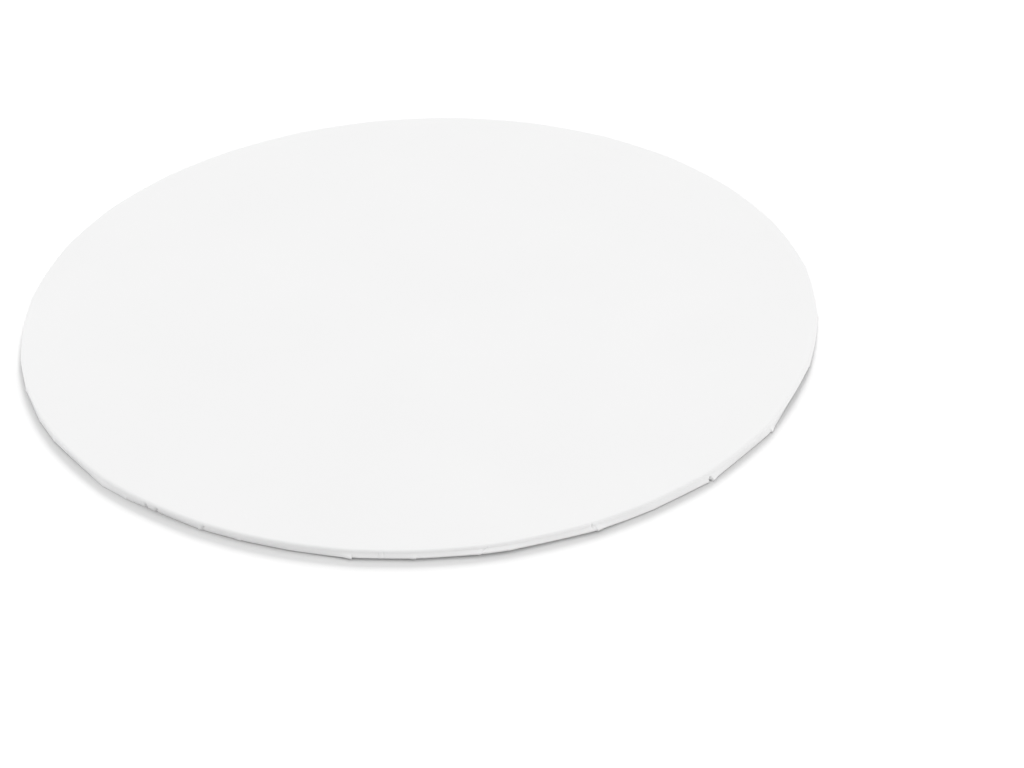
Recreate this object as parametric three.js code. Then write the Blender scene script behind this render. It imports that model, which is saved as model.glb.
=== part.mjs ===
// Round cake board with a turned edge: a stiff disc of board covered in white paper. The paper is
// pulled down over the rim and turned in underneath, where a smaller paper disc covers its ends.
// Millimetres, +Z up, origin at the centre of the underside. The front edge faces -Y.

import * as THREE from "three";
import { mergeVertices } from "three/addons/utils/BufferGeometryUtils.js";

// The board
const BOARD_DIAMETER = 304.8;
const BOARD_THICKNESS = 3.3;
const TOP_EDGE_RADIUS = 1.0;
const BOTTOM_EDGE_RADIUS = 0.3;
const BOTTOM_EDGE_GROWTH = 0.4;
const BOTTOM_EDGE_LEAST = 0.2;

// The paper disc glued under the board, and the bare ring of turned-in paper round it
const LINER_MARGIN = 9;
const LINER_THICKNESS = 0.2;

// How much of the foot's shape shows at the top edge, as a share
const TOP_FOLLOW = 0.3;

// A full pleat: the folded paper is thick, and one side of the fold is a sharp step beside a tuck
const PLEAT_WIDTH = 3.8;
const PLEAT_THICKNESS = 0.45;
const FOLD_STEP = 0.35;
const TUCK_WIDTH = 2.4;
const TUCK_DEPTH = 0.3;
const UNDERSIDE_FOLD = 0.12;

// Smoothness of the mesh
const ROUND_STEPS = 3;
const WALL_ROWS = [1 / 3, 2 / 3];
const CHORD_STEP = THREE.MathUtils.degToRad(4);

const PAPER_COLOUR = 0xf1f1f1;
const PAPER_ROUGHNESS = 0.4;

// Pleats where they can be seen, by angle in degrees round from +X. A fold lies towards higher
// angles with laid 1 and towards lower ones with laid -1. Size 1 is a full pleat. Proud is how far
// the foot of the rim stands out there.
const FRONT_PLEATS = [
  { angle: 188.6, laid: 1, size: 0.15, proud: 0.1 },
  { angle: 195.4, laid: 1, size: 0.25, proud: 0.25 },
  { angle: 203.5, laid: 1, size: 0.1, proud: 0.35 },
  { angle: 209.2, laid: -1, size: 0.3, proud: 0.4 },
  { angle: 221.8, laid: 1, size: 0.3, proud: 0.9 },
  { angle: 226.5, laid: -1, size: 0.3, proud: 0.3 },
  { angle: 238.6, laid: 1, size: 0.5, proud: -0.1 },
  { angle: 244.8, laid: -1, size: 0.4, proud: -0.1 },
  { angle: 251.7, laid: -1, size: 0.1, proud: 0.3 },
  { angle: 259.8, laid: -1, size: 1.0, proud: 1.6 },
  { angle: 267.8, laid: -1, size: 0.45, proud: 1.6 },
  { angle: 275.9, laid: -1, size: 0.4, proud: 2.1 },
  { angle: 279.4, laid: 1, size: 0.2, proud: 2.2 },
  { angle: 291.2, laid: 1, size: 0.6, proud: 2.2 },
  { angle: 299.6, laid: 1, size: 0.15, proud: 1.3 },
  { angle: 309.6, laid: 1, size: 1.0, proud: 1.9 },
  { angle: 323.2, laid: 1, size: 0.8, proud: 1.1 },
  { angle: 340.0, laid: 1, size: 0.4, proud: -0.3 },
  { angle: 353.0, laid: 1, size: 0.3, proud: 0.2 },
];
const REAR_PLEATS = [
  { angle: 481.2, laid: 1, size: 0.6, proud: 0.5 },
  { angle: 493.0, laid: 1, size: 0.6, proud: 0.5 },
  { angle: 517.5, laid: -1, size: 0.6, proud: 0.5 },
  { angle: 533.0, laid: 1, size: 0.3, proud: 0.3 },
];
const FILL_PITCH = 13.3;
const FILL_PROUD = 1.0;
const FILL_SIZES = [0.7, 0.35, 0.55, 0.25, 0.8, 0.45];

const rimRadius = BOARD_DIAMETER / 2;
const fullTurn = 2 * Math.PI;

// The known pleats, with more at an even pitch wherever the gap between two is wide
function pleatsAllRound() {
  const known = [...FRONT_PLEATS, ...REAR_PLEATS];
  const pleats = [];
  known.forEach((pleat, index) => {
    const wraps = index + 1 === known.length;
    const next = wraps ? known[0].angle + 360 : known[index + 1].angle;
    pleats.push(pleat);
    const gap = next - pleat.angle;
    const spaces = Math.floor(gap / FILL_PITCH + 0.5);
    for (let step = 1; step < spaces; step += 1) {
      const angle = pleat.angle + (gap * step) / spaces;
      const size = FILL_SIZES[(index + step) % FILL_SIZES.length];
      pleats.push({ angle, laid: 1, size, proud: FILL_PROUD });
    }
  });
  return pleats.map((pleat) => ({
    angle: THREE.MathUtils.degToRad(pleat.angle),
    laid: pleat.laid,
    foot: rimRadius + pleat.proud,
    width: PLEAT_WIDTH * (0.4 + 0.6 * pleat.size),
    thickness: PLEAT_THICKNESS * pleat.size,
    tuck: TUCK_DEPTH * pleat.size,
  }));
}

// The paper is pulled straight from pleat to pleat, so the foot of the rim is a row of chords
function chordRadius(angle, pleats) {
  const after = pleats.findIndex((pleat) => pleat.angle > angle + 1e-9);
  const start = pleats[after > 0 ? after - 1 : pleats.length - 1];
  const end = after > 0 ? pleats[after] : pleats[0];
  const turn = (end.angle - start.angle + fullTurn) % fullTurn;
  const past = (angle - start.angle + fullTurn) % fullTurn;
  const reach = start.foot * Math.sin(past) + end.foot * Math.sin(turn - past);
  return (start.foot * end.foot * Math.sin(turn)) / reach;
}

// How far one pleat lifts the paper off the rim, from 0 to 1, and how far it is tucked beside it
function pleatShape(angle, pleat) {
  const turns = Math.round((angle - pleat.angle) / fullTurn);
  const along = (angle - pleat.angle - turns * fullTurn) * rimRadius * pleat.laid;
  if (along >= 0) {
    const fade = Math.max(0, 1 - along / pleat.width);
    return { lift: fade * fade * (3 - 2 * fade), tuck: 0 };
  }
  const lift = Math.max(0, 1 + along / FOLD_STEP);
  const tuck = Math.max(0, 1 + along / TUCK_WIDTH) * (1 - lift);
  return { lift, tuck };
}

// Radius at the foot of the rim without and with its folds, and how thick the folded paper is there
function footAt(angle, pleats) {
  const chord = chordRadius(angle, pleats);
  let radius = chord;
  let fold = 0;
  pleats.forEach((pleat) => {
    const { lift, tuck } = pleatShape(angle, pleat);
    radius += lift * pleat.thickness - tuck * pleat.tuck;
    fold += (lift * pleat.thickness) / PLEAT_THICKNESS;
  });
  return { chord, radius, fold: Math.min(1, fold) };
}

// The foot is rounder where the paper stands further out
function bottomRadius(chord) {
  const radius = BOTTOM_EDGE_RADIUS + BOTTOM_EDGE_GROWTH * (chord - rimRadius);
  return Math.max(BOTTOM_EDGE_LEAST, radius);
}

// Angles of the mesh's columns: close together at each pleat, and even along the chords between
function columnAngles(pleats) {
  const angles = [];
  pleats.forEach((pleat, index) => {
    const offsets = [-TUCK_WIDTH, -FOLD_STEP, 0, pleat.width / 3, (2 * pleat.width) / 3, pleat.width];
    const around = offsets.map((offset) => pleat.angle + (pleat.laid * offset) / rimRadius);
    angles.push(...around);
    const next = pleats[(index + 1) % pleats.length];
    const wrap = index + 1 === pleats.length ? fullTurn : 0;
    const reach = Math.max(PLEAT_WIDTH, TUCK_WIDTH) / rimRadius;
    const start = pleat.angle + reach;
    const length = next.angle + wrap - reach - start;
    const steps = Math.floor(length / CHORD_STEP);
    for (let step = 1; step < steps; step += 1) {
      angles.push(start + (length * step) / steps);
    }
  });
  angles.sort((a, b) => a - b);
  return angles;
}

// One column of the section, from the middle of the underside out round the rim to the top's middle
function columnPoints(angle, pleats) {
  const foot = footAt(angle, pleats);
  const footLevel = LINER_THICKNESS - UNDERSIDE_FOLD * foot.fold;
  const turned = bottomRadius(foot.chord);
  const wallFoot = LINER_THICKNESS + turned;
  const wallTop = BOARD_THICKNESS - TOP_EDGE_RADIUS;
  const linerRadius = rimRadius - LINER_MARGIN;
  const topRadius = THREE.MathUtils.lerp(rimRadius, foot.chord, TOP_FOLLOW);
  const points = [
    [0, 0],
    [linerRadius, 0],
    [linerRadius, footLevel],
  ];
  for (let step = 0; step <= ROUND_STEPS; step += 1) {
    const turn = (Math.PI / 2) * (step / ROUND_STEPS);
    const rise = (wallFoot - footLevel) * (1 - Math.cos(turn));
    points.push([foot.radius - turned * (1 - Math.sin(turn)), footLevel + rise]);
  }
  WALL_ROWS.forEach((share) => {
    const radius = THREE.MathUtils.lerp(foot.radius, topRadius, share);
    points.push([radius, THREE.MathUtils.lerp(wallFoot, wallTop, share)]);
  });
  for (let step = 0; step <= ROUND_STEPS; step += 1) {
    const turn = (Math.PI / 2) * (step / ROUND_STEPS);
    const radius = topRadius - TOP_EDGE_RADIUS * (1 - Math.cos(turn));
    points.push([radius, wallTop + TOP_EDGE_RADIUS * Math.sin(turn)]);
  }
  points.push([0, BOARD_THICKNESS]);
  return points;
}

// A lathe gives the disc its rows and columns, and each column then takes its own section
function boardGeometry() {
  const pleats = pleatsAllRound();
  const angles = columnAngles(pleats);
  const sections = angles.map((angle) => columnPoints(angle, pleats));
  sections.push(sections[0]);
  angles.push(angles[0] + fullTurn);
  const plain = sections[0].map(([radius, height]) => new THREE.Vector2(radius, height));
  const lathe = new THREE.LatheGeometry(plain, angles.length - 1);
  const position = lathe.attributes.position;
  sections.forEach((section, column) => {
    section.forEach(([radius, height], row) => {
      const x = radius * Math.cos(angles[column]);
      const y = radius * Math.sin(angles[column]);
      position.setXYZ(column * section.length + row, x, y, height);
    });
  });
  lathe.deleteAttribute("normal");
  lathe.deleteAttribute("uv");
  const welded = mergeVertices(lathe);
  welded.computeVertexNormals();
  return welded;
}

const paper = new THREE.MeshStandardMaterial({
  color: PAPER_COLOUR,
  roughness: PAPER_ROUGHNESS,
  metalness: 0,
});

const board = new THREE.Mesh(boardGeometry(), paper);
board.name = "cake_board";

const model = new THREE.Group();
model.add(board);

export default model;
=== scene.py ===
# Round cake board with a turned edge, dressed for rendering. Metres, +Z up, front edge at -Y.
# The white covering paper is one closed mesh: flat top, soft edge, rim pulled straight from pleat to
# pleat, and the turned-in border underneath. A paper disc covers the middle of the underside.

import math

import bpy
from mathutils import Matrix, Vector, noise


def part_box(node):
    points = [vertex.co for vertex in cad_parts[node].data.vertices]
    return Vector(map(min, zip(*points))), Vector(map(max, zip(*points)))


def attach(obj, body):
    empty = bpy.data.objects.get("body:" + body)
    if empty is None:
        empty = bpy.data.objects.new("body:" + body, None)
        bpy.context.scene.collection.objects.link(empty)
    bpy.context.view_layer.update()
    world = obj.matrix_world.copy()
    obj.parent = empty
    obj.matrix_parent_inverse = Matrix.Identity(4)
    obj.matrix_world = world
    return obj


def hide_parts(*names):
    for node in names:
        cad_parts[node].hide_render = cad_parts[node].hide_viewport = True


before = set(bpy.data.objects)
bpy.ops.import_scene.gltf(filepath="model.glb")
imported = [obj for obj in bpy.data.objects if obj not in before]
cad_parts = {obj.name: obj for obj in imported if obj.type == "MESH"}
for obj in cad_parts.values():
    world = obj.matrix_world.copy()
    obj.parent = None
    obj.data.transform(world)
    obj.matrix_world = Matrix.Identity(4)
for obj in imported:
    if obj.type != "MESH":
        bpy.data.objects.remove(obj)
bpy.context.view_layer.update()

board_low, board_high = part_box("cake_board")

MM = 0.001
FULL_TURN = 2 * math.pi

# The board, as in the frame
RIM_RADIUS = 152.4 * MM
THICKNESS = board_high.z - board_low.z
TOP_EDGE_RADIUS = 1.0 * MM
BOTTOM_EDGE_RADIUS = 0.3 * MM
BOTTOM_EDGE_GROWTH = 0.4
BOTTOM_EDGE_LEAST = 0.2 * MM
LINER_MARGIN = 9.0 * MM
LINER_THICKNESS = 0.2 * MM
TOP_FOLLOW = 0.3
PLEAT_WIDTH = 3.8 * MM
PLEAT_THICKNESS = 0.45 * MM
TUCK_WIDTH = 2.4 * MM
TUCK_DEPTH = 0.3 * MM
UNDERSIDE_FOLD = 0.12 * MM

# Folds, finer than in the frame. The smallest pleat has the least share of a full one's width, and up
# the rim a fold narrows to the tip's share of its own.
FOLD_STEP = 0.12 * MM
PLEAT_WIDTH_LEAST = 0.4
FOLD_TIP = 0.35

# How fast the foot's shape fades on its way up the rim, and the share of the rim's height that the
# top's rounding counts for, so that tall folds and creases run out on it
FOLLOW_POWER = 1.15
EDGE_HEIGHT = 0.3

# The slight waviness of glued paper: its depth, its length and how far its noise is spread. It dies
# out towards the edge, over the margin's share of the flat top's radius.
PAPER_WAVE = 0.05 * MM
PAPER_WAVE_LENGTH = 45 * MM
PAPER_WAVE_GAIN = 1.6
PAPER_WAVE_MARGIN = 0.1

# The turned-in border runs on behind the disc's edge, and over its outermost share it bends to meet
# the foot of the rim. A fold in it has the inner and the outer share of its width at the border's two
# ends. The smallest fold has the least share of a full one's depth, and where folds pile up they are
# no deeper than the most.
BORDER_OVERLAP = 2 * MM
BORDER_MEETS_FOOT = 0.25
BORDER_FOLD_INNER = 1.15
BORDER_FOLD_OUTER = 0.8
BORDER_FOLD_STEEPNESS = 4
BORDER_FOLD_LEAST = 0.5
BORDER_FOLD_MOST = 1.3

# The covering paper's mesh: distance between its columns round each fold and along the chords, rows
# of each stretch of its section, and rings on its top as shares of the flat top's radius
FINE_COLUMN = 0.18 * MM
CHORD_COLUMN = 1.6 * MM
BORDER_ROWS = 8
FOOT_ROWS = 5
WALL_ROWS = 8
EDGE_ROWS = 8
TOP_RINGS = [0.996, 0.988, 0.97, 0.93, 0.86, 0.77, 0.67, 0.57, 0.47, 0.37, 0.27, 0.17, 0.08]

# Pleats that can be seen, by angle in degrees round from +X. A fold lies towards higher angles with
# laid 1 and towards lower ones with laid -1. Size 1 is a full pleat. Proud is how far the foot of the
# rim stands out there, and slant how far the fold leans sideways on its way up, both in millimetres.
# Reach is how far up the rim the fold shows.
FRONT_PLEATS = [
    {"angle": 188.6, "laid": 1, "size": 0.15, "proud": 0.1, "reach": 0.5, "slant": 0.1},
    {"angle": 195.4, "laid": 1, "size": 0.25, "proud": 0.25, "reach": 0.6, "slant": 0.2},
    {"angle": 203.5, "laid": 1, "size": 0.1, "proud": 0.35, "reach": 0.4, "slant": 0.1},
    {"angle": 209.2, "laid": -1, "size": 0.3, "proud": 0.4, "reach": 0.7, "slant": -0.2},
    {"angle": 221.8, "laid": 1, "size": 0.3, "proud": 0.9, "reach": 0.6, "slant": 0.2},
    {"angle": 226.5, "laid": -1, "size": 0.3, "proud": 0.3, "reach": 0.9, "slant": 0.2},
    {"angle": 238.6, "laid": 1, "size": 0.5, "proud": -0.1, "reach": 1.2, "slant": -0.3},
    {"angle": 244.8, "laid": -1, "size": 0.4, "proud": -0.1, "reach": 0.5, "slant": 0.6},
    {"angle": 251.7, "laid": -1, "size": 0.1, "proud": 0.3, "reach": 0.4, "slant": 0.2},
    {"angle": 259.8, "laid": -1, "size": 1.0, "proud": 1.6, "reach": 0.8, "slant": -0.8},
    {"angle": 267.8, "laid": -1, "size": 0.45, "proud": 1.6, "reach": 0.4, "slant": -0.5},
    {"angle": 275.9, "laid": -1, "size": 0.4, "proud": 2.1, "reach": 1.1, "slant": 1.0},
    {"angle": 279.4, "laid": 1, "size": 0.2, "proud": 2.2, "reach": 0.4, "slant": 0.0},
    {"angle": 291.2, "laid": 1, "size": 0.6, "proud": 2.2, "reach": 1.3, "slant": -0.3},
    {"angle": 299.6, "laid": 1, "size": 0.15, "proud": 1.3, "reach": 0.6, "slant": 0.3},
    {"angle": 309.6, "laid": 1, "size": 1.0, "proud": 1.9, "reach": 0.8, "slant": -0.4},
    {"angle": 323.2, "laid": 1, "size": 0.8, "proud": 1.1, "reach": 0.8, "slant": -0.5},
    {"angle": 340.0, "laid": 1, "size": 0.4, "proud": -0.3, "reach": 0.9, "slant": 0.4},
    {"angle": 353.0, "laid": 1, "size": 0.3, "proud": 0.2, "reach": 0.7, "slant": -0.2},
]
REAR_PLEATS = [
    {"angle": 481.2, "laid": 1, "size": 0.6, "proud": 0.5, "reach": 0.9, "slant": 0.3},
    {"angle": 493.0, "laid": 1, "size": 0.6, "proud": 0.5, "reach": 0.8, "slant": -0.4},
    {"angle": 517.5, "laid": -1, "size": 0.6, "proud": 0.5, "reach": 1.0, "slant": 0.2},
    {"angle": 533.0, "laid": 1, "size": 0.3, "proud": 0.3, "reach": 0.6, "slant": 0.3},
]
FILL_PITCH = 13.3
FILL_PROUD = 1.0
FILL_SIZES = [0.7, 0.35, 0.55, 0.25, 0.8, 0.45]
FILL_REACHES = [0.8, 1.1, 0.6, 0.9]
FILL_SLANTS = [0.4, -0.5, 0.1, -0.2, 0.7]

# Creases pressed into the rim, by angle. Level is the share of the rim's height where each is
# deepest, and slant is how far it leans sideways up the rim. Slant, depth and half width are in
# millimetres. The widest is the mouth of the fold beside it.
CREASES = [
    {"angle": 229.9, "level": 0.4, "slant": 0.3, "depth": 1.3, "width": 0.75},
    {"angle": 231.7, "level": 0.4, "slant": 0.5, "depth": 1.3, "width": 0.75},
    {"angle": 239.3, "level": 0.45, "slant": 0.5, "depth": 1.2, "width": 0.8},
    {"angle": 263.1, "level": 0.5, "slant": 0.1, "depth": 0.32, "width": 0.45},
    {"angle": 263.8, "level": 0.6, "slant": -0.2, "depth": 0.32, "width": 0.45},
    {"angle": 276.4, "level": 0.55, "slant": 1.8, "depth": 0.6, "width": 0.6},
    {"angle": 290.6, "level": 0.7, "slant": 0.2, "depth": 0.7, "width": 0.6},
    {"angle": 309.4, "level": 0.15, "slant": 0.5, "depth": 1.3, "width": 1.0},
]
CREASE_REACH = 0.7

# How open the foot of the rim is, by angle: the share of the usual gap to the ground. Below 1 its
# rounding is less by the same share.
FOOT_OPENNESS = [
    (211.0, 1.0),
    (220.0, 0.3),
    (232.0, 0.25),
    (240.0, 0.7),
    (246.0, 1.0),
    (258.0, 1.0),
    (261.0, 2.0),
    (281.0, 2.0),
    (291.0, 1.3),
    (296.0, 0.7),
    (318.0, 0.6),
    (330.0, 1.0),
]

# The camera: 85 mm lens on a 36 mm sensor, turned a little off the board's middle
LENS = 85.0
SENSOR_WIDTH = 36.0
CLIP_START = 0.05
CLIP_END = 100.0
CAMERA_ELEVATION = math.radians(32.56)
CAMERA_DISTANCE = 934.8 * MM
AIM_BELOW_TOP = 2.9 * MM
CAMERA_PAN = math.radians(2.08)
CAMERA_TILT = math.radians(-1.84)
CAMERA_ROLL = math.radians(2.98)


def lerp(a, b, share):
    return a + (b - a) * share


def smooth(share):
    share = min(1.0, max(0.0, share))
    return share * share * (3 - 2 * share)


# Pleats

def sized_pleat(angle, laid, size, proud, reach, slant):
    """A pleat's own measures in metres and radians."""
    return {
        "angle": math.radians(angle),
        "laid": laid,
        "size": size,
        "foot": RIM_RADIUS + proud * MM,
        "width": PLEAT_WIDTH * lerp(PLEAT_WIDTH_LEAST, 1.0, size),
        "thickness": PLEAT_THICKNESS * size,
        "tuck": TUCK_DEPTH * size,
        "reach": reach,
        "slant": slant * MM,
    }


def pleats_all_round():
    """The known pleats, with more at an even pitch wherever the gap between two is wide."""
    known = FRONT_PLEATS + REAR_PLEATS
    pleats = []
    for index, pleat in enumerate(known):
        last = index + 1 == len(known)
        following = known[0]["angle"] + 360 if last else known[index + 1]["angle"]
        pleats.append(sized_pleat(**pleat))
        gap = following - pleat["angle"]
        spaces = math.floor(gap / FILL_PITCH + 0.5)
        for step in range(1, spaces):
            pick = index + step
            pleats.append(sized_pleat(
                angle=pleat["angle"] + gap * step / spaces,
                laid=1,
                size=FILL_SIZES[pick % len(FILL_SIZES)],
                proud=FILL_PROUD,
                reach=FILL_REACHES[pick % len(FILL_REACHES)],
                slant=FILL_SLANTS[pick % len(FILL_SLANTS)],
            ))
    return sorted(pleats, key=lambda pleat: pleat["angle"])


def arc_from(angle, centre):
    """Distance round the rim from one angle to another, the short way, in metres."""
    turns = round((angle - centre) / FULL_TURN)
    return (angle - centre - turns * FULL_TURN) * RIM_RADIUS


def chord_radius(angle, pleats):
    """The paper is pulled straight from pleat to pleat, so the foot of the rim is a row of chords."""
    first = pleats[0]["angle"]
    angle = first + (angle - first) % FULL_TURN
    following = sum(pleat["angle"] <= angle for pleat in pleats)
    start = pleats[following - 1]
    end = pleats[following % len(pleats)]
    turn = (end["angle"] - start["angle"]) % FULL_TURN
    past = angle - start["angle"]
    near, far = start["foot"], end["foot"]
    return near * far * math.sin(turn) / (near * math.sin(past) + far * math.sin(turn - past))


def pleat_lift(angle, pleat, height):
    """How far one pleat lifts the paper at a share of the rim's height, and how far it is tucked."""
    along = (arc_from(angle, pleat["angle"]) - pleat["slant"] * height) * pleat["laid"]
    fade = smooth(1 - height / pleat["reach"])
    if fade == 0 or along < -TUCK_WIDTH or along > pleat["width"]:
        return 0.0, 0.0
    width = pleat["width"] * lerp(FOLD_TIP, 1.0, fade)
    if along >= 0:
        return pleat["thickness"] * smooth(1 - along / width) * fade, 0.0
    lift = max(0.0, 1 + along / FOLD_STEP)
    tuck = max(0.0, 1 + along / TUCK_WIDTH) * (1 - lift)
    return pleat["thickness"] * lift * fade, pleat["tuck"] * tuck * fade


def crease_depth(angle, height):
    """Depth of the creases pressed into the rim at a share of its height."""
    depth = 0.0
    for crease in CREASES:
        centre = math.radians(crease["angle"])
        along = arc_from(angle, centre) - crease["slant"] * MM * (height - 0.5)
        share = 1 - abs(along) / (crease["width"] * MM)
        if share > 0:
            fade = smooth(1 - abs(height - crease["level"]) / CREASE_REACH)
            depth += crease["depth"] * MM * smooth(share) * fade
    return depth


def bottom_radius(chord):
    """The foot is rounder where the paper stands further out."""
    return max(BOTTOM_EDGE_LEAST, BOTTOM_EDGE_RADIUS + BOTTOM_EDGE_GROWTH * (chord - RIM_RADIUS))


def foot_openness(angle):
    """How open the foot is at an angle, between the known places on either side."""
    degrees = math.degrees(angle) % 360
    for (start, near), (end, far) in zip(FOOT_OPENNESS, FOOT_OPENNESS[1:]):
        if start <= degrees <= end:
            return lerp(near, far, (degrees - start) / (end - start))
    return 1.0


# Covering paper

def even_steps(low, high, distance):
    """Angles from low up to high, without high, at about the given distance round the rim."""
    steps = max(1, round((high - low) * RIM_RADIUS / distance))
    return [lerp(low, high, step / steps) for step in range(steps)]


def column_angles(pleats):
    """Columns of the mesh: fine round each pleat and crease, wider along the chords between."""
    fine = []
    for pleat in pleats:
        margin = (TUCK_WIDTH + abs(pleat["slant"])) / RIM_RADIUS
        reach = (pleat["width"] + abs(pleat["slant"])) / RIM_RADIUS
        if pleat["laid"] > 0:
            fine.append((pleat["angle"] - margin, pleat["angle"] + reach))
        else:
            fine.append((pleat["angle"] - reach, pleat["angle"] + margin))
    for crease in CREASES:
        centre = math.radians(crease["angle"])
        margin = (crease["width"] + abs(crease["slant"])) * MM / RIM_RADIUS
        fine.append((centre - margin, centre + margin))
    fine = sorted((low % FULL_TURN, high - low) for low, high in fine)
    first = fine[0][0]
    last = first + FULL_TURN
    angles = []
    reached = first
    for low, length in fine + [(last, 0.0)]:
        if low > reached:
            angles += even_steps(reached, low, CHORD_COLUMN)
            reached = low
        high = min(low + length, last)
        if high > reached:
            angles += even_steps(reached, high, FINE_COLUMN)
            reached = high
    return angles


def paper_wave(x, y):
    """The slight unevenness of glued paper, from 0 to 1."""
    place = Vector((x, y, 0)) / PAPER_WAVE_LENGTH
    return 0.5 + 0.5 * max(-1.0, min(1.0, noise.noise(place) * PAPER_WAVE_GAIN))


def rim_rows():
    """Rows up the rim as (kind, share) pairs, from the foot's rounding to the top's rounding."""
    rows = [("foot", step / FOOT_ROWS) for step in range(FOOT_ROWS + 1)]
    rows += [("wall", step / WALL_ROWS) for step in range(1, WALL_ROWS)]
    rows += [("edge", step / EDGE_ROWS) for step in range(EDGE_ROWS + 1)]
    return rows


def rim_point(kind, share, angle, pleats):
    """Radius and height of one point of the rim."""
    chord = chord_radius(angle, pleats)
    openness = foot_openness(angle)
    turn = bottom_radius(chord) * min(1.0, openness)
    wall_foot = LINER_THICKNESS * openness + turn
    wall_top = THICKNESS - TOP_EDGE_RADIUS
    quarter = math.pi / 2 * share
    if kind == "foot":
        height = 0.0
        level = wall_foot - turn * math.cos(quarter)
    elif kind == "wall":
        height = share
        level = lerp(wall_foot, wall_top, share)
    else:
        height = 1 + EDGE_HEIGHT * share
        level = wall_top + TOP_EDGE_RADIUS * math.sin(quarter)
    follow = lerp(TOP_FOLLOW, 1.0, (1 - min(1.0, height)) ** FOLLOW_POWER)
    radius = lerp(RIM_RADIUS, chord, follow)
    fold = 0.0
    for pleat in pleats:
        lift, tuck = pleat_lift(angle, pleat, height)
        radius += lift - tuck
        fold += lift / PLEAT_THICKNESS
    radius -= crease_depth(angle, height)
    if kind == "foot":
        radius -= turn * (1 - math.sin(quarter))
        level = max(0.0, level - UNDERSIDE_FOLD * min(1.0, fold) * math.cos(quarter))
    elif kind == "edge":
        radius -= TOP_EDGE_RADIUS * (1 - math.cos(quarter))
    return radius, level


def border_point(share, angle, pleats):
    """Radius and height on the turned-in border, from the hidden ends (0) out to the foot (1)."""
    foot_radius, foot_level = rim_point("foot", 0.0, angle, pleats)
    inner = RIM_RADIUS - LINER_MARGIN - BORDER_OVERLAP
    radius = lerp(inner, foot_radius, share)
    level = LINER_THICKNESS
    for pleat in pleats:
        along = arc_from(angle, pleat["angle"]) * pleat["laid"]
        width = pleat["width"] * lerp(BORDER_FOLD_INNER, BORDER_FOLD_OUTER, share)
        depth = UNDERSIDE_FOLD * lerp(BORDER_FOLD_LEAST, 1.0, pleat["size"])
        if 0 <= along <= width:
            level -= depth * smooth(BORDER_FOLD_STEEPNESS * (1 - along / width))
        elif -FOLD_STEP < along < 0:
            level -= depth * (1 + along / FOLD_STEP)
    level = max(level, LINER_THICKNESS - BORDER_FOLD_MOST * UNDERSIDE_FOLD)
    return radius, lerp(level, foot_level, smooth(1 - (1 - share) / BORDER_MEETS_FOOT))


def cover_column(angle, pleats):
    """One column of the covering paper, from the underside's middle out to the top's middle."""
    points = [border_point(step / BORDER_ROWS, angle, pleats) for step in range(BORDER_ROWS)]
    points += [rim_point(kind, share, angle, pleats) for kind, share in rim_rows()]
    flat = points[-1][0]
    for ring in TOP_RINGS:
        radius = flat * ring
        x, y = radius * math.cos(angle), radius * math.sin(angle)
        settle = smooth((1 - ring) / PAPER_WAVE_MARGIN)
        points.append((radius, THICKNESS - PAPER_WAVE * settle * paper_wave(x, y)))
    return points


def lathe_mesh(name, angles, columns, low_centre, high_centre):
    """A closed mesh from columns of (radius, height) points round +Z, with a middle point at each end."""
    rows = len(columns[0])
    verts = []
    for angle, column in zip(angles, columns):
        verts += [(r * math.cos(angle), r * math.sin(angle), z) for r, z in column]
    low = len(verts)
    verts += [(0, 0, low_centre), (0, 0, high_centre)]
    faces = []
    for index in range(len(angles)):
        here = index * rows
        there = ((index + 1) % len(angles)) * rows
        faces.append((low, there, here))
        for row in range(rows - 1):
            faces.append((here + row, there + row, there + row + 1, here + row + 1))
        faces.append((low + 1, here + rows - 1, there + rows - 1))
    mesh = bpy.data.meshes.new(name)
    mesh.from_pydata(verts, [], faces)
    mesh.validate()
    mesh.polygons.foreach_set("use_smooth", [True] * len(mesh.polygons))
    piece = bpy.data.objects.new(name, mesh)
    bpy.context.scene.collection.objects.link(piece)
    return piece


def make_cover(pleats):
    angles = column_angles(pleats)
    columns = [cover_column(angle, pleats) for angle in angles]
    middle = THICKNESS - PAPER_WAVE * paper_wave(0, 0)
    return lathe_mesh("covering_paper", angles, columns, LINER_THICKNESS, middle)


# Paper disc under the board

# The disc reaches a little way into the covering paper. It sinks towards its edge, from the start's
# distance inside the edge and by the bend's share of the whole at the bend's distance. At a fold it
# doesn't sink, and it sinks in full at the reach's distance from one.
LINER_COLUMNS = 720
LINER_OVERLAP = 0.04 * MM
LINER_SINK = 0.06 * MM
SINK_START = 8 * MM
SINK_BEND = 3 * MM
SINK_BEND_SHARE = 0.4
SINK_REACH = 3 * PLEAT_WIDTH

# The disc's cut edge is rounded below, and its back drops a little there
LINER_EDGE_BAND = 0.3 * MM
LINER_EDGE_WIDTH = 0.06 * MM
LINER_EDGE_HEIGHT = 0.05 * MM
LINER_EDGE_BEND_SHARE = 0.4
LINER_BACK_DROP = 0.01 * MM


def liner_column(angle, pleats):
    """The disc bridges the folds beneath its edge, and sinks a little between them."""
    radius = RIM_RADIUS - LINER_MARGIN
    nearest = min(abs(arc_from(angle, pleat["angle"])) for pleat in pleats)
    sink = LINER_SINK * smooth(nearest / SINK_REACH)
    back = LINER_THICKNESS + LINER_OVERLAP
    return [
        (radius / 2, 0.0),
        (radius - SINK_START, 0.0),
        (radius - SINK_BEND, sink * SINK_BEND_SHARE),
        (radius - LINER_EDGE_BAND, sink),
        (radius - LINER_EDGE_WIDTH, sink + LINER_EDGE_HEIGHT * LINER_EDGE_BEND_SHARE),
        (radius, sink + LINER_EDGE_HEIGHT),
        (radius, back - LINER_BACK_DROP),
        (radius - LINER_EDGE_BAND, back),
        (radius / 2, back),
    ]


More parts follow.
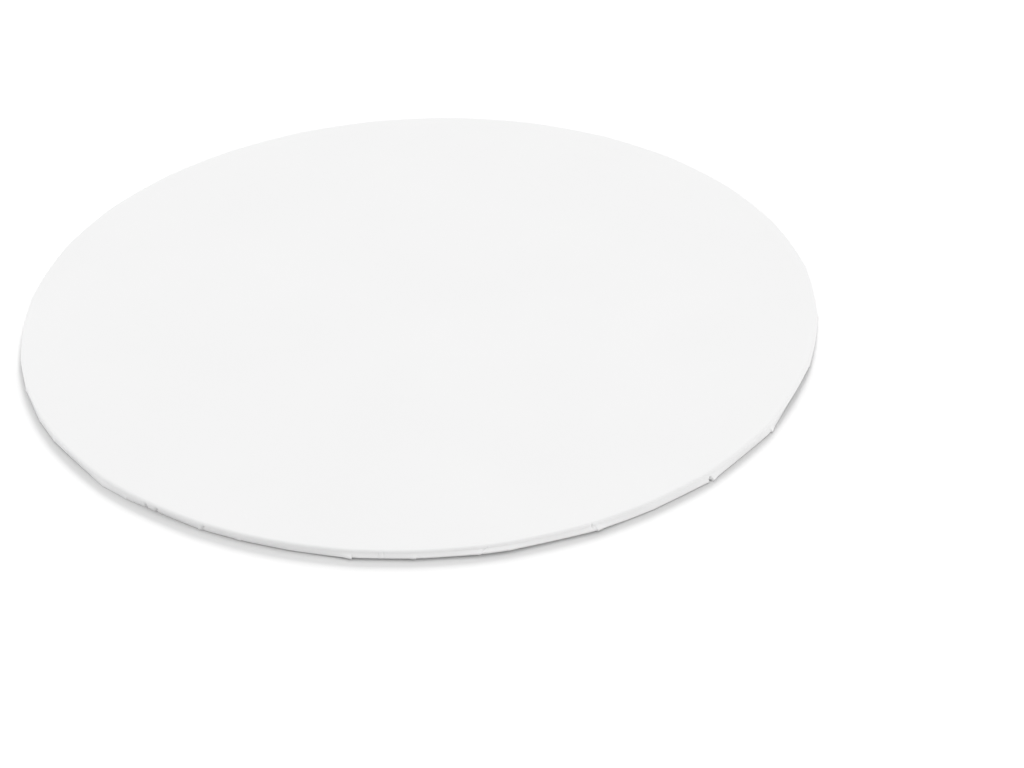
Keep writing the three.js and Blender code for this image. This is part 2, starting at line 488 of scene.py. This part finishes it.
def make_liner(pleats):
    angles = [FULL_TURN * index / LINER_COLUMNS for index in range(LINER_COLUMNS)]
    columns = [liner_column(angle, pleats) for angle in angles]
    return lathe_mesh("liner_disc", angles, columns, 0.0, LINER_THICKNESS + LINER_OVERLAP)


# Materials

# Nearly all of a noise's values lie between these two
NOISE_LOW = 0.3
NOISE_HIGH = 0.7


def shader_nodes(material):
    material.use_nodes = True
    nodes = material.node_tree.nodes
    return nodes, material.node_tree.links, nodes["Principled BSDF"]


def noise_node(nodes, links, place, size, detail, roughness):
    """Noise in the object's own coordinates, with features of the given size in metres."""
    node = nodes.new("ShaderNodeTexNoise")
    node.inputs["Scale"].default_value = 1 / size
    node.inputs["Detail"].default_value = detail
    node.inputs["Roughness"].default_value = roughness
    links.new(place.outputs["Object"], node.inputs["Vector"])
    return node


def ranged(nodes, links, source, low, high):
    """A noise value spread between two numbers."""
    node = nodes.new("ShaderNodeMapRange")
    node.inputs["From Min"].default_value = NOISE_LOW
    node.inputs["From Max"].default_value = NOISE_HIGH
    node.inputs["To Min"].default_value = low
    node.inputs["To Max"].default_value = high
    links.new(source.outputs["Fac"], node.inputs["Value"])
    return node


def mottled(nodes, links, source, low, high):
    """A grey that drifts between two levels."""
    ramp = nodes.new("ShaderNodeValToRGB")
    dark, light = ramp.color_ramp.elements
    dark.position = NOISE_LOW
    dark.color = (*low, 1)
    light.position = NOISE_HIGH
    light.color = (*high, 1)
    links.new(source.outputs["Fac"], ramp.inputs["Fac"])
    return ramp


def bumped(nodes, links, source, distance, before=None):
    """A bump of the given height in metres, over an earlier one."""
    bump = nodes.new("ShaderNodeBump")
    bump.inputs["Strength"].default_value = 1.0
    bump.inputs["Distance"].default_value = distance
    links.new(source.outputs["Fac"], bump.inputs["Height"])
    if before:
        links.new(before.outputs["Normal"], bump.inputs["Normal"])
    return bump


def coated_paper():
    """Smooth white coated paper: a satin sheen over a fine pebbled grain."""
    material = bpy.data.materials.new("coated_paper")
    nodes, links, shader = shader_nodes(material)
    place = nodes.new("ShaderNodeTexCoord")
    drift = noise_node(nodes, links, place, size=60 * MM, detail=2, roughness=0.5)
    pebble = noise_node(nodes, links, place, size=1.3 * MM, detail=2, roughness=0.5)
    fibre = noise_node(nodes, links, place, size=0.35 * MM, detail=3, roughness=0.6)
    colour = mottled(nodes, links, drift, low=(0.872, 0.872, 0.872), high=(0.882, 0.882, 0.882))
    links.new(colour.outputs["Color"], shader.inputs["Base Color"])
    sheen = ranged(nodes, links, pebble, low=0.34, high=0.46)
    links.new(sheen.outputs["Result"], shader.inputs["Roughness"])
    grain = bumped(nodes, links, pebble, distance=0.006 * MM)
    grain = bumped(nodes, links, fibre, distance=0.0015 * MM, before=grain)
    links.new(grain.outputs["Normal"], shader.inputs["Normal"])
    shader.inputs["Specular IOR Level"].default_value = 0.5
    return material


def plain_paper():
    """The uncoated paper of the disc underneath: matt, with a visible fibre."""
    material = bpy.data.materials.new("plain_paper")
    nodes, links, shader = shader_nodes(material)
    place = nodes.new("ShaderNodeTexCoord")
    cloud = noise_node(nodes, links, place, size=6 * MM, detail=4, roughness=0.6)
    fibre = noise_node(nodes, links, place, size=0.5 * MM, detail=4, roughness=0.7)
    colour = mottled(nodes, links, cloud, low=(0.78, 0.78, 0.77), high=(0.83, 0.83, 0.82))
    links.new(colour.outputs["Color"], shader.inputs["Base Color"])
    dull = ranged(nodes, links, fibre, low=0.75, high=0.9)
    links.new(dull.outputs["Result"], shader.inputs["Roughness"])
    grain = bumped(nodes, links, fibre, distance=0.01 * MM)
    links.new(grain.outputs["Normal"], shader.inputs["Normal"])
    shader.inputs["Specular IOR Level"].default_value = 0.3
    return material


# Stage

FLOOR_SIZE = 40.0
FLOOR_GREY = 0.72


def floor_material():
    """A plain pale floor."""
    material = bpy.data.materials.new("floor")
    _, _, shader = shader_nodes(material)
    shader.inputs["Base Color"].default_value = (FLOOR_GREY, FLOOR_GREY, FLOOR_GREY, 1)
    shader.inputs["Roughness"].default_value = 1.0
    shader.inputs["Specular IOR Level"].default_value = 0.0
    return material


def make_floor():
    half = FLOOR_SIZE / 2
    corners = [(-half, -half, 0), (half, -half, 0), (half, half, 0), (-half, half, 0)]
    mesh = bpy.data.meshes.new("floor")
    mesh.from_pydata(corners, [], [(0, 1, 2, 3)])
    floor = bpy.data.objects.new("floor", mesh)
    floor.data.materials.append(floor_material())
    bpy.context.scene.collection.objects.link(floor)
    return floor


def direction(around, elevation):
    """Unit vector towards a place at an angle round from +X and an elevation, both in degrees."""
    a, e = math.radians(around), math.radians(elevation)
    return Vector((math.cos(a) * math.cos(e), math.sin(a) * math.cos(e), math.sin(e)))


def soft_lamp(name, around, elevation, spread, level):
    """A far soft lamp, not mirrored in the paper, so that no side of it glares.

    Level is what the lamp adds to the brightness of a white surface that faces it.
    """
    light = bpy.data.lights.new(name, "SUN")
    light.angle = math.radians(spread)
    light.energy = level * math.pi
    lamp = bpy.data.objects.new(name, light)
    lamp.rotation_euler = direction(around, elevation).to_track_quat("Z", "Y").to_euler()
    lamp.visible_glossy = False
    bpy.context.scene.collection.objects.link(lamp)
    return lamp


def light_board():
    """Most of the lamps' light comes from above and behind, and little of it meets the front rim."""
    soft_lamp("overhead", around=75, elevation=65, spread=50, level=0.26)
    soft_lamp("left_back", around=150, elevation=30, spread=40, level=0.215)
    soft_lamp("left_front", around=222, elevation=15, spread=30, level=0.035)
    soft_lamp("right_front", around=343, elevation=17, spread=30, level=0.2)


def light_floor(floor):
    """A lamp from behind that lights the floor alone, for the board's narrow shadow in front."""
    lamp = soft_lamp("floor_key", around=80, elevation=26.5, spread=20, level=1.0)
    floor_only = bpy.data.collections.new("floor_only")
    floor_only.objects.link(floor)
    lamp.light_linking.receiver_collection = floor_only


def make_world(ambient):
    """Even white light. The camera and reflections see plain white."""
    world = bpy.data.worlds.new("studio")
    bpy.context.scene.world = world
    world.use_nodes = True
    nodes, links = world.node_tree.nodes, world.node_tree.links
    background = nodes["Background"]
    background.inputs["Color"].default_value = (1, 1, 1, 1)
    rays = nodes.new("ShaderNodeLightPath")
    seen = nodes.new("ShaderNodeMath")
    seen.operation = "MAXIMUM"
    links.new(rays.outputs["Is Camera Ray"], seen.inputs[0])
    links.new(rays.outputs["Is Glossy Ray"], seen.inputs[1])
    strength = nodes.new("ShaderNodeMapRange")
    strength.inputs["To Min"].default_value = ambient
    strength.inputs["To Max"].default_value = 1.0
    links.new(seen.outputs["Value"], strength.inputs["Value"])
    links.new(strength.outputs["Result"], background.inputs["Strength"])


def turned(a, b, angle):
    """Two directions at a right angle, turned in their own plane."""
    c, s = math.cos(angle), math.sin(angle)
    return a * c - b * s, a * s + b * c


def make_camera():
    """Looks down on the board from the front, then pans, tilts and rolls to the view's framing."""
    aim = Vector((0, 0, THICKNESS - AIM_BELOW_TOP))
    back = Vector((0, -math.cos(CAMERA_ELEVATION), math.sin(CAMERA_ELEVATION)))
    right = Vector((1, 0, 0))
    forward = -back
    up = right.cross(forward)
    right, forward = turned(right, forward, CAMERA_PAN)
    up, forward = turned(up, forward, CAMERA_TILT)
    right, up = turned(right, up, CAMERA_ROLL)
    camera = bpy.data.objects.new("camera", bpy.data.cameras.new("camera"))
    camera.data.lens = LENS
    camera.data.sensor_width = SENSOR_WIDTH
    camera.data.clip_start = CLIP_START
    camera.data.clip_end = CLIP_END
    facing = Matrix((right, up, -forward)).transposed().to_4x4()
    camera.matrix_world = Matrix.Translation(aim + back * CAMERA_DISTANCE) @ facing
    bpy.context.scene.collection.objects.link(camera)
    bpy.context.scene.camera = camera


# The board on its stage

make_camera()
all_pleats = pleats_all_round()

cover = make_cover(all_pleats)
cover.data.materials.append(coated_paper())
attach(cover, "root")
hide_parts("cake_board")

liner = make_liner(all_pleats)
liner.data.materials.append(plain_paper())
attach(liner, "root")
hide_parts("cake_board")

stage_floor = make_floor()
make_world(ambient=0.62)
light_board()
light_floor(stage_floor)

bpy.context.scene.view_settings.view_transform = "Standard"
